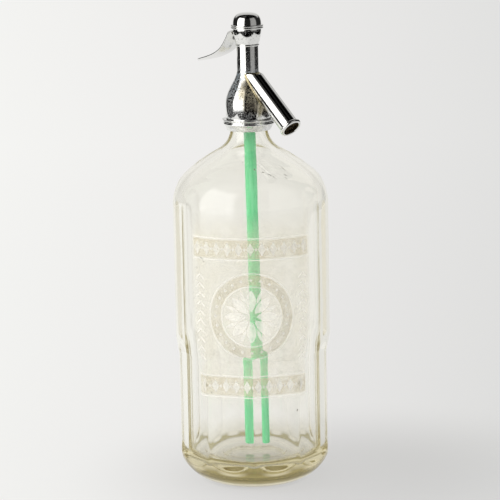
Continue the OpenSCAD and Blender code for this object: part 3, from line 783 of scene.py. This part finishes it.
def etching():
    """A made-up bar-ware pattern: a rosette in a ring, between two bands of lozenges."""
    bands = [strip(-reach, reach, low, low + BAND_H) for reach, low, _ in BANDS]
    etched("etched_bloom", [strip(-43, 43, 56, 190)], BLOOM_DEPTH, BLOOM)
    etched("etched_bands", [*bands, ring(20.5, 27.5)], BAND_DEPTH, BAND_ETCH)
    lines = [strip(-reach, reach, z, z + RULE_W) for reach, low, _ in BANDS
             for z in (low - 2 * RULE_W, low + BAND_H + RULE_W)]
    for _, low, count in BANDS:
        for number, size in ((count, LARGE_LOZENGE), (count - 1, SMALL_LOZENGE)):
            lines += [lozenge((i - (number - 1) / 2) * LOZENGE_STEP, low + BAND_H / 2, *size)
                      for i in range(number)]
    lines += [ring(r, r + 0.6) for r in (19.4, 28.1)]
    for start, *size in ((0, 3.2, 17.5, 3.1), (22.5, 9, 18, 1.1)):
        lines += [petal(turn + start, *size) for turn in range(0, 360, 45)]
    lines += [lozenge(u, z, *STUD) for u, z in arc([0, ROSETTE_Z], STUD_RING_R, 0, 360, 24)[:-1]]
    lines += [chevron(side * 36, z, half_w=3.4, rise=3.0, thick=1.1)
              for side in (-1, 1) for z in range(92, 152, 6)]
    etched("etched_lines", lines, LINE_DEPTH, LINE_ETCH)


def marks():
    """Scratches and nicks where the photograph shows them: (round, up, length, slant, width)."""
    found = [(34.2, 212.6, 4.2, -48, 0.35), (32.2, 209.0, 3.4, -25, 0.3),
             (31.0, 207.4, 2.0, -60, 0.25), (12.6, 211.5, 2.6, -12, 0.3),
             (17.8, 210.0, 4.4, -22, 0.3), (20.6, 208.6, 2.0, -50, 0.25),
             (5.4, 213.2, 1.6, -30, 0.5), (-34.6, 157.4, 4.0, -35, 0.35),
             (-32.4, 155.0, 2.2, -20, 0.25), (-29.0, 68.4, 1.4, 60, 0.4),
             (30.7, 55.4, 1.8, 75, 0.4), (-7.4, 217.0, 1.0, 40, 0.4),
             (-38.0, 150.5, 1.6, 35, 0.25), (3.4, 150.0, 0.9, 20, 0.3),
             (27.5, 118.0, 1.2, 80, 0.25)]
    patches = []
    for u, z, length, slant, width in found:
        along = towards(slant) * length / 2
        side = np.array([-along[1], along[0]]) / np.linalg.norm(along) * (width * SHOWN_WIDTH) / 2
        patches.append(([[tuple(np.array([u, z]) + t * along + k * max(1 - t * t, 0.15) * side)
                          for k in (-1, 1)] for t in np.linspace(-1, 1, 7)], False))
    etched("scratches", patches, LINE_DEPTH, GRIME)


# ---- The head ----
def flare_line():
    """The shoulder between the bell and the throat."""
    return bezier([BELL_R, FLARE_Z], [BELL_R, FLARE_Z + FLARE_LOW_PULL * FLARE_H],
                  [THROAT_R, THROAT_Z - FLARE_HIGH_PULL * FLARE_H], [THROAT_R, THROAT_Z], 48)


def rim_bead(low_z):
    """One of the two round beads where the cap meets the bulb."""
    return arc([RIM_R - RIM_H / 2, low_z + RIM_H / 2], RIM_H / 2, -90, 90, 12)


def head_outline():
    """The outside of the head, from the bell's lower edge up to the rim's bead."""
    return np.concatenate([
        arc([BELL_R - BELL_EDGE_ROUND, BELL_Z + BELL_EDGE_ROUND], BELL_EDGE_ROUND, -90, 0, 4),
        flare_line(),
        rows(THROAT_R, THROAT_Z, WAIST_Z - 0.7, 3)[1:],
        arc([THROAT_R + 0.1, WAIST_Z], WAIST_BEAD_R, -80, 80, 10),
        bezier([THROAT_R + 0.25, WAIST_Z + WAIST_BEAD_R], [THROAT_R + 1.35, WAIST_Z + 3.6],
               [BULB_R, RIM_Z - 3.5], [BULB_R, RIM_Z], 28),
        rim_bead(RIM_Z),
    ])


def head_shell():
    """The plated casting, with its bores, the lever's slot and the pin's hole."""
    bores, top = [], SEAM_Z
    for r, z in ((SPIGOT_R, SPIGOT_Z), (BULB_BORE_R, BULB_FLOOR_Z), (GLAND_R, LEDGE_Z),
                 (CHAMBER_R, CHAMBER_Z), (SEAT_R, SEAT_Z), (FEED_R, SOCKET_TOP_Z),
                 (SOCKET_R, CEILING_Z), (BELL_BORE_R, BELL_Z)):
        bores += [[r, top], [r, z]]
        top = z
    profile = np.concatenate([head_outline(), bores])
    made = piece("chromed_head", *turned(profile, 192), WORN_CHROME, "chromed_brass")
    slot = box_mesh([-2 * PIVOT_X, -SLOT_W, WAIST_Z + WAIST_BEAD_R],
                    [SLOT_FRONT_X, SLOT_W, SPIGOT_Z])
    end = PIN_HOLE_L / 2
    points, faces = turned([[0, -end], [PIN_R, -end], [PIN_R, end], [0, end]], 32, looped=False)
    hole = [(-PIVOT_X + x, z, PIVOT_Z + y) for x, y, z in points]
    cut_away(made, [slot, (hole, faces)])
    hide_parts("head_body")


def cap():
    """The domed cap with its bead, hollow inside."""
    dome_h = TOP_Z - CAP_Z
    spigot_low_z = SPIGOT_Z + 0.1
    profile = np.concatenate([
        [[SPIGOT_R, spigot_low_z], [SPIGOT_R, SEAM_Z + SEAM_GAP]],
        rim_bead(SEAM_Z + SEAM_GAP),
        bezier([CAP_R, CAP_Z], [CAP_R, CAP_Z + 0.8 * dome_h],
               [0.68 * CAP_R, TOP_Z], [0, TOP_Z], 40),
        [[0, TOP_Z - CROWN_T], [BULB_BORE_R, TOP_Z - CROWN_T], [BULB_BORE_R, spigot_low_z]],
    ])
    made = piece("domed_cap", *turned(profile, 160), CHROME, "chromed_brass")
    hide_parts("cap")


def collar_halves():
    """The split collar under the bell: a conical skirt, a round bead and a thin flange."""
    skirt_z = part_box("collar_front")[0].z / MM
    profile = np.concatenate([
        [[NECK_R + 0.7, skirt_z], [SKIRT_R - 0.7, skirt_z]],
        arc([SKIRT_R - SKIRT_ROUND, skirt_z + SKIRT_ROUND], SKIRT_ROUND, -80, -10, 5),
        arc([BEAD_R - BEAD_ROUND, GROOVE_Z + BEAD_UP], BEAD_ROUND, -70, 60, 10),
        arc([FLANGE_R - FLANGE_ROUND, BELL_Z - FLANGE_T / 2], FLANGE_ROUND, -90, 90, 8),
        [[BELL_BORE_R, BELL_Z], [BELL_BORE_R, LIP_Z], [GROOVE_R + COLLAR_GAP, LIP_Z],
         [GROOVE_R + COLLAR_GAP, GROOVE_Z], [NECK_R + COLLAR_GAP, NECK_Z]],
    ])
    for side, start in (("back", SPLIT_ANGLE), ("front", SPLIT_ANGLE + 180)):
        half = turned(profile, 90, sweep=(start + SPLIT_TURN, start + 180 - SPLIT_TURN))
        made = piece("plated_collar_" + side, *half, WORN_CHROME, "chromed_brass")
        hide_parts("collar_" + side)


# ---- The spout ----
def spout():
    """The spout's pipe with its rolled rim, cut to fit the head, and the scale inside its mouth."""
    rim_from = SPOUT_L - SPOUT_RIM_L
    inner_r = SPOUT_R - SPOUT_WALL
    half = [SPOUT_RIM_R - SPOUT_R, SPOUT_RIM_L / 2]
    profile = np.concatenate([
        [[0, 0], [SPOUT_R, 0]],
        rows(SPOUT_R, 2, rim_from - 0.3, 6),
        arc([0, 0], 1, -90, 90, 16) * half + [SPOUT_R, rim_from + SPOUT_RIM_L / 2],
        arc([SPOUT_LIP_R + SPOUT_LIP_ROUND, SPOUT_L - SPOUT_LIP_ROUND],
            SPOUT_LIP_ROUND, 90, 180, 6),
        [[SPOUT_LIP_R, rim_from], [inner_r, rim_from - 0.4], [inner_r, SPOUT_BORE_FROM],
         [0, SPOUT_BORE_FROM]],
    ])
    points, faces = turned(profile, 128, looped=False)
    made = piece("spout_pipe", on_spout(points), faces, CHROME, "chromed_brass")
    head = turned(np.concatenate([[[0, BELL_Z]], head_outline(), [[0, SEAM_Z]]]), 128, looped=False)
    above = box_mesh([-CUT, -CUT / 2, SPOUT_TOP_Z], [CUT, CUT / 2, SPOUT_Z + CUT])
    cut_away(made, [above, head])
    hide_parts("spout_tube")
    outer_r, scale_to = inner_r - 0.1, rim_from - 0.6
    scale = [[outer_r, SCALE_FROM], [outer_r, scale_to], [outer_r - SCALE_T, scale_to],
             [outer_r - SCALE_T, SCALE_FROM]]
    points, faces = turned(scale, 96)
    piece("scale_in_the_spout", on_spout(points), faces, SCALE, "chromed_brass")


def solder_path():
    """Places round the spout's foot, with the directions out of the head and out of the spout."""
    outline = head_outline()
    tall = outline[(outline[:, 1] > FLARE_Z - 1) & (outline[:, 1] < WAIST_Z - 0.8)]
    slopes = np.gradient(tall[:, 0], tall[:, 1])
    tilt = math.radians(SPOUT_ANGLE)
    along = np.array([math.sin(tilt), 0, -math.cos(tilt)])
    upper = np.array([math.cos(tilt), 0, math.sin(tilt)])

    def head_r(z):
        """The head's radius at a height."""
        return np.interp(z, tall[:, 1], tall[:, 0])

    def out_of_head(p):
        """The direction straight out of the head at a place on it."""
        flat = np.array([p[0], p[1], 0]) / math.hypot(p[0], p[1])
        way = flat - np.array([0, 0, np.interp(p[2], tall[:, 1], slopes)])
        return way / np.linalg.norm(way)

    path = []
    for turn in np.radians(np.linspace(20, 340, 97)):
        out = math.cos(turn) * upper + math.sin(turn) * np.array([0, 1, 0])
        # Halves the stretch again and again, to find where this line of the spout leaves the head
        low, high = 2.0, 40.0
        for _ in range(40):
            middle = (low + high) / 2
            p = np.array([0, 0, SPOUT_Z]) + middle * along + SPOUT_R * out
            inside = math.hypot(p[0], p[1]) < head_r(p[2])
            low, high = (middle, high) if inside else (low, middle)
        if p[2] < SPOUT_TOP_Z:
            path.append((p, out_of_head(p), out))
    # The rest runs along the spout's flat upper end
    first, last = path[0][0], path[-1][0]
    r = head_r(SPOUT_TOP_Z)
    from_turn, to_turn = (math.atan2(p[1], p[0]) for p in (last, first))
    for turn in np.linspace(from_turn, to_turn, 25)[1:-1]:
        p = np.array([r * math.cos(turn), r * math.sin(turn), SPOUT_TOP_Z])
        path.append((p, out_of_head(p), np.array([0, 0, 1.0])))
    return path


# The fillet's section, as shares of its width up the head and out along the spout
FILLET = ((-0.15, -0.15), (1, 0), (0.55, 0.12), (0.3, 0.3), (0.12, 0.55), (0, 1))


def solder():
    """A hollow fillet of solder, laid round the joint of spout and head."""
    points, index = [], []
    for place, from_head, from_spout in solder_path():
        on_head = from_spout - from_spout.dot(from_head) * from_head
        on_pipe = from_head - from_head.dot(from_spout) * from_spout
        a, b = (way / np.linalg.norm(way) * SOLDER_W for way in (on_head, on_pipe))
        index.append(numbers(points, len(FILLET)))
        points += [place + up * a + out * b for up, out in FILLET]
    made = piece("solder_fillet", points, grid_faces(index, True, True), SOLDER, "solder",
                 crease=70)
    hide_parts("spout_solder")


# ---- The dip tube ----
def dip_tube():
    """The green tube, which leans a little from its socket down."""
    low_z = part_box("dip_tube")[0].z / MM
    top_z = SOCKET_TOP_Z - TUBE_TOP_GAP
    bore_r = TUBE_R - TUBE_WALL
    points, faces = turned([[TUBE_R, low_z], [TUBE_R, top_z], [bore_r, top_z], [bore_r, low_z]], 64)
    lean = math.tan(math.radians(TUBE_LEAN)) * towards(TUBE_LEAN_DIR)
    leaned = [(*((x, y) + (CEILING_Z - z) * lean), z + TUBE_END_RISE) for x, y, z in points]
    made = piece("green_dip_tube", leaned, faces, GREEN, "green_tube")
    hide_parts("dip_tube")


# ---- The spring ----
SPRING_WIRE_R = 0.5
SPRING_TURNS = 6
STEPS_IN_TURN = 24
WIRE_SIDES = 10


def spring():
    """The steel spring between the stem's collar and the cap, which shortens as the valve lifts."""
    low, high = (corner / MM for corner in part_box("spring"))
    mean_r = high.x - SPRING_WIRE_R
    steps = SPRING_TURNS * STEPS_IN_TURN
    run = high.z - low.z - 2 * SPRING_WIRE_R
    points = []
    for i in range(steps + 1):
        turn = math.tau * SPRING_TURNS * i / steps
        out = np.array([math.cos(turn), math.sin(turn), 0])
        centre = mean_r * out + [0, 0, low.z + SPRING_WIRE_R + run * i / steps]
        for j in range(WIRE_SIDES):
            side = math.tau * j / WIRE_SIDES
            points.append(centre + SPRING_WIRE_R * (math.cos(side) * out + [0, 0, math.sin(side)]))
    index = np.arange(len(points)).reshape(steps + 1, WIRE_SIDES)
    faces = grid_faces(index, False, True)
    faces += [tuple(index[0][::-1]), tuple(index[-1])]
    coil = piece("coil_spring", points, faces, STEEL, "steel")
    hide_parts("spring")
    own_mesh(coil)


# ---- The lever ----
ROOT = np.array([ROOT_X, RIM_Z - ROOT_DROP])


def blade_curve(u):
    """Places along the middle of the blade, and the direction there."""
    root_dir, tip_dir = towards(-ROOT_SLOPE), towards(-TIP_SLOPE)
    legs = np.linalg.solve(np.stack([root_dir, tip_dir], 1), BLADE_SPAN)
    a, d = ROOT, ROOT + BLADE_SPAN
    b, c = a + BLADE_BEND * legs[0] * root_dir, d - BLADE_BEND * legs[1] * tip_dir
    place = bezier(a, b, c, d, t=u)
    u = u[:, None]
    way = 3 * (1 - u) ** 2 * (b - a) + 6 * (1 - u) * u * (c - b) + 3 * u**2 * (d - c)
    return place, way / np.linalg.norm(way, axis=1)[:, None]


def blade_section(u):
    """The ring of (across, up) points round the blade at u, from 0 at its root to 1 at its tip."""
    half = max((ROOT_W + (TIP_W - ROOT_W) * u) * math.sqrt(max(1 - u**5, 0)), TIP_END_W)
    flat = half - EDGE_T / 2
    s = np.linspace(-1, 1, 21)
    hollowed = ease(u / CROWN_END)
    top = (CROWN_H * (1 - hollowed) - DISH_H * hollowed * (1 - u**4)) * (1 - s * s)
    # The belly starts behind the root, and the rib under the root fades out by half way
    belly = BELLY_T * ease((u - 0.15) / 0.35) * (1 - 0.8 * u**3)
    rib = RIB_H * ease(u / 0.1) * (1 - ease(u / 0.5)) * np.exp(-(s * 4.2) ** 2)
    low = top * (1 - hollowed) - EDGE_T - belly * (1 - s * s) - rib
    edge = arc([flat, -EDGE_T / 2], EDGE_T / 2, 90, -90, 6)[1:-1]
    return np.concatenate([
        np.stack([s * flat, top], 1), edge,
        np.stack([s * flat, low], 1)[::-1], (edge * [-1, 1])[::-1],
    ])


def plate(outline, low_y, high_y):
    """Points and faces of a flat plate whose outline is given in x and z."""
    count = len(outline)
    points = [(x, y, z) for y in (low_y, high_y) for x, z in outline]
    sides = [(j, (j + 1) % count, count + (j + 1) % count, count + j) for j in range(count)]
    return points, [tuple(reversed(range(count))), tuple(range(count, 2 * count)), *sides]


def lever():
    """The thumb lever: its blade, the web and hub on the pin, and the fork's two prongs."""
    u = np.sin(np.linspace(0, math.pi / 2, 60))
    points, index = [], []
    for place, along, here in zip(*blade_curve(u), u):
        ring_points = blade_section(here)
        index.append(numbers(points, len(ring_points)))
        for across, up in ring_points:
            r, z = place + up * np.array([-along[1], along[0]])
            points.append((-r, across, z))
    faces = grid_faces(index, False, True)
    faces += [list(reversed(index[0])), index[-1]]
    nose_z = PIVOT_Z - PIVOT_X * math.tan(math.radians(LEVER_TRAVEL / 2))
    hub = arc([-PIVOT_X, PIVOT_Z], HUB_R, 0, 360, 36)[:-1]
    web = [[-PIVOT_X, PIVOT_Z + HUB_R], [-ROOT_X - 0.6, ROOT[1] - 1.8],
           [-ROOT_X - 3.2, PIVOT_Z - 0.6], [-ROOT_X - 4.8, PIVOT_Z - 3.2],
           [-ROOT_X - 3, PIVOT_Z - 4], [-PIVOT_X, PIVOT_Z - HUB_R]]
    prong = np.concatenate([
        [[-PIVOT_X, PIVOT_Z + 0.2], [-NOSE_R / 2, nose_z + 0.7 * NOSE_R]],
        arc([0, nose_z], NOSE_R, 80, -90, 12), [[-PIVOT_X, PIVOT_Z - HUB_R + 0.1]]])
    inside = HUB_W - PRONG_T
    for outline, low_y, high_y in ((hub, -HUB_W, HUB_W), (web, -HUB_W, HUB_W),
                                   (prong, -HUB_W, -inside), (prong, inside, HUB_W)):
        more_points, more_faces = plate(outline, low_y, high_y)
        faces += [[len(points) + n for n in face] for face in more_faces]
        points += more_points
    made = piece("thumb_lever", points, faces, CHROME, "chromed_brass", "lever", crease=50)
    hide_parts("lever")


# ---- Studio, in metres ----
CAMERA_AT = Vector((1.197, -1.120, 0.473))
AIM_AT = Vector((0, 0, 0.154))
AIM_LEFT = 0.0009  # the bottle's axis stands this far right of the middle
SENSOR = 36
PICTURE = 500
FOCAL_PIXELS = 2530
LEAN = 1.12  # the camera was tilted sideways by so many degrees
TO_CAMERA = Vector((CAMERA_AT.x, CAMERA_AT.y, 0)).normalized()
TO_RIGHT = Vector((-TO_CAMERA.y, TO_CAMERA.x, 0))
SWEEP_REACH = 40.0
TABLE_FRONT = 0.55  # mirrors see the sweep up to here
TABLE_SIDE = 0.95


def camera():
    """The view of the photograph."""
    data = bpy.data.cameras.new("camera")
    data.sensor_width = SENSOR
    data.lens = SENSOR * FOCAL_PIXELS / PICTURE
    made = placed("camera", data)
    bpy.context.scene.camera = made
    right = (AIM_AT - CAMERA_AT).cross(Vector((0, 0, 1))).normalized()
    look = AIM_AT - right * AIM_LEFT - CAMERA_AT
    made.location = CAMERA_AT
    made.rotation_euler = look.to_track_quat("-Z", "Y").to_euler()
    made.rotation_euler.rotate_axis("Z", math.radians(-LEAN))


def studio_light():
    """Mirrors see a dark room with two soft boxes, and all else sees the pale sweep all round."""
    world = bpy.data.worlds.new("studio")
    bpy.context.scene.world = world
    world.use_nodes = True
    world.node_tree.nodes.clear()
    add = partial(add_node, world.node_tree)
    way = add("TexCoord").outputs["Generated"]
    ahead = add("VectorMath.DOT_PRODUCT", [way, TO_CAMERA])
    aside = add("VectorMath.DOT_PRODUCT", [way, TO_RIGHT])
    turn = add("Math.ARCTAN2", [aside, ahead])
    round_about = add("MapRange", [turn, -math.pi, math.pi])
    # Angles from the camera's direction, to the left below a half and to the right above it
    boxes = add("ValToRGB", [round_about], stops=[
        (0.0, 0.02), (0.265, 0.02), (0.28, 2.6), (0.42, 2.6), (0.445, 0.015), (0.575, 0.015),
        (0.59, 0.34), (0.71, 0.34), (0.73, 0.02)])
    height = add("SeparateXYZ", [way]).outputs["Z"]
    upper = add("MapRange", [height, 0.66, 0.77, 1.0, 0.03])
    lower = add("MapRange", [height, -0.2, -0.14, 0.02])
    within = add("Math.MULTIPLY", [upper, lower])
    lit = add("Math.MULTIPLY", [boxes, within])
    # The far wall shows straight behind, and above the dark room to either side of that
    far = add("MapRange", [ahead, -0.6, -0.4, 0.6, 0.0])
    high = add("MapRange", [height, 0.3, 0.45])
    wall = add("Math.MULTIPLY", [far, high])
    straight = add("MapRange", [ahead, -0.9, -0.8, 0.75, 0.0])
    walls = add("Math.MAXIMUM", [wall, straight])
    mirrored = add("Math.MAXIMUM", [lit, walls])
    # Through glass and on dull surfaces the whole white room counts, brightest by the camera
    room = add("MapRange", [ahead, -0.9, 0.2])
    sweep = add("ValToRGB", [room], stops=[
        (0.0, 0.84), (0.45, 0.82), (0.75, 0.85), (1.0, 1.25)])
    open_room = add("Math.MULTIPLY", [sweep, behind_glass(add)])
    strength = add("Mix", [mirror_rays(add), open_room, mirrored], data_type="FLOAT")
    back = add("Background", ["fffefc", strength])
    add("OutputWorld", [back])
    world.cycles.sampling_method = "NONE"


def mirror_rays(add):
    """1 for rays that a mirror sent, and 0 for those that passed glass or left a dull surface."""
    rays = add("LightPath").outputs
    return add("Math.MULTIPLY", [rays["Is Reflection Ray"], rays["Is Glossy Ray"]])


def behind_glass(add):
    """Brightens what glass shows, as a white room round a real bottle does by reflection."""
    rays = add("LightPath").outputs
    return add("MapRange", [rays["Is Transmission Ray"], 0.0, 1.0, 1.0, 1.1])


def key_light():
    """One broad soft lamp from the upper left of the camera."""
    data = bpy.data.lights.new("key", "AREA")
    data.shape = "DISK"
    data.size = 0.9
    data.energy = 14
    made = placed("key", data)
    made.location = TO_RIGHT * -1.1 + TO_CAMERA * 0.5 + Vector((0, 0, 1.3))
    made.rotation_euler = (Vector((0, 0, 0.1)) - made.location).to_track_quat("-Z", "Y").to_euler()
    made.visible_glossy = False
    made.visible_transmission = False


def floor():
    """A pale sweep under the bottle. In mirrors it ends at the table's front and sides."""
    mesh = bpy.data.meshes.new("sweep")
    corners = ((-1, -1), (1, -1), (1, 1), (-1, 1))
    mesh.from_pydata([(x * SWEEP_REACH, y * SWEEP_REACH, 0) for x, y in corners], [], [range(4)])
    made, add, place = new_material("matt_paper_sweep")
    aside = add("VectorMath.DOT_PRODUCT", [place, TO_RIGHT])
    ahead = add("VectorMath.DOT_PRODUCT", [place, TO_CAMERA])
    # Painted light that falls off to the right, in step with the widening view
    far = add("Math.SUBTRACT", [CAMERA_AT.xy.length, ahead])
    seen_from = add("Math.MAXIMUM", [far, 1.2])
    across = add("Math.DIVIDE", [aside, seen_from])
    shade = add("MapRange", [across, -0.1, 0.1])
    colour = add("ValToRGB", [shade], stops=[(0.0, "f3f3f1"), (0.5, "ecebea"), (1.0, "e1e1e0")])
    # A painted soft shadow lies to the right of the bottle
    near_bottle = add("VectorMath.DISTANCE", [place, TO_RIGHT * 0.06])
    soft = add("MapRange", [near_bottle, 0.04, 0.2, 0.84, 1.0], interpolation_type="SMOOTHSTEP")
    # Painted shade: the sweep darkens a little towards the camera
    painted_shade_to_camera = add("MapRange", [ahead, -1.5, 0.3, 1.0, 0.93])
    # Painted shadow under the bottle, where no light gets in
    inward = add("VectorMath.LENGTH", [place])
    under = add("MapRange", [inward, 0.014, 0.036, 0.6, 1.0])
    shaded = add("Math.MULTIPLY", [soft, painted_shade_to_camera])
    painted_shading = add("Math.MULTIPLY", [shaded, under])
    tone = add("VectorMath.SCALE", [colour, painted_shading])
    # Painted light: the sweep mostly glows with its tone, painted shading included, rather than
    # being lit
    paper = add("BsdfDiffuse", [tone])
    painted_glow = add("Emission", [tone, behind_glass(add)])
    lit = add("MixShader", [0.88, paper, painted_glow])
    before = add("Math.GREATER_THAN", [ahead, TABLE_FRONT])
    off_side = add("Math.ABSOLUTE", [aside])
    beside = add("Math.GREATER_THAN", [off_side, TABLE_SIDE])
    beyond = add("Math.MAXIMUM", [before, beside])
    gone = add("Math.MULTIPLY", [beyond, mirror_rays(add)])
    seen = add("MixShader", [gone, lit, add("BsdfTransparent")])
    add("OutputMaterial", [seen])
    mesh.materials.append(made)
    placed("sweep", mesh)


def dress_inner_nodes():
    """The pieces inside the head keep their CAD shape and take a real finish."""
    finishes = {
        BRASS: ["tube_nut", "valve_seat", "valve_stem", "washer_nut", "packing_washer", "gland_nut",
                "lift_collar"],
        RUBBER: ["neck_seal", "tube_grommet", "valve_washer", "packing_cup"],
        STEEL: ["lever_pin"],
    }
    for finish, nodes in finishes.items():
        for name in nodes:
            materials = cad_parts[name].data.materials
            materials.clear()
            materials.append(finish)


camera()
bottle()
etching()
marks()
head_shell()
cap()
collar_halves()
spout()
solder()
dip_tube()
spring()
lever()
dress_inner_nodes()
studio_light()
key_light()
floor()
bpy.context.scene.view_settings.view_transform = "Standard"
# Light runs a long way inside thick glass, so it may turn more often than it usually would
cycles = bpy.context.scene.cycles
cycles.max_bounces = 64
cycles.glossy_bounces = 48
cycles.transmission_bounces = 48
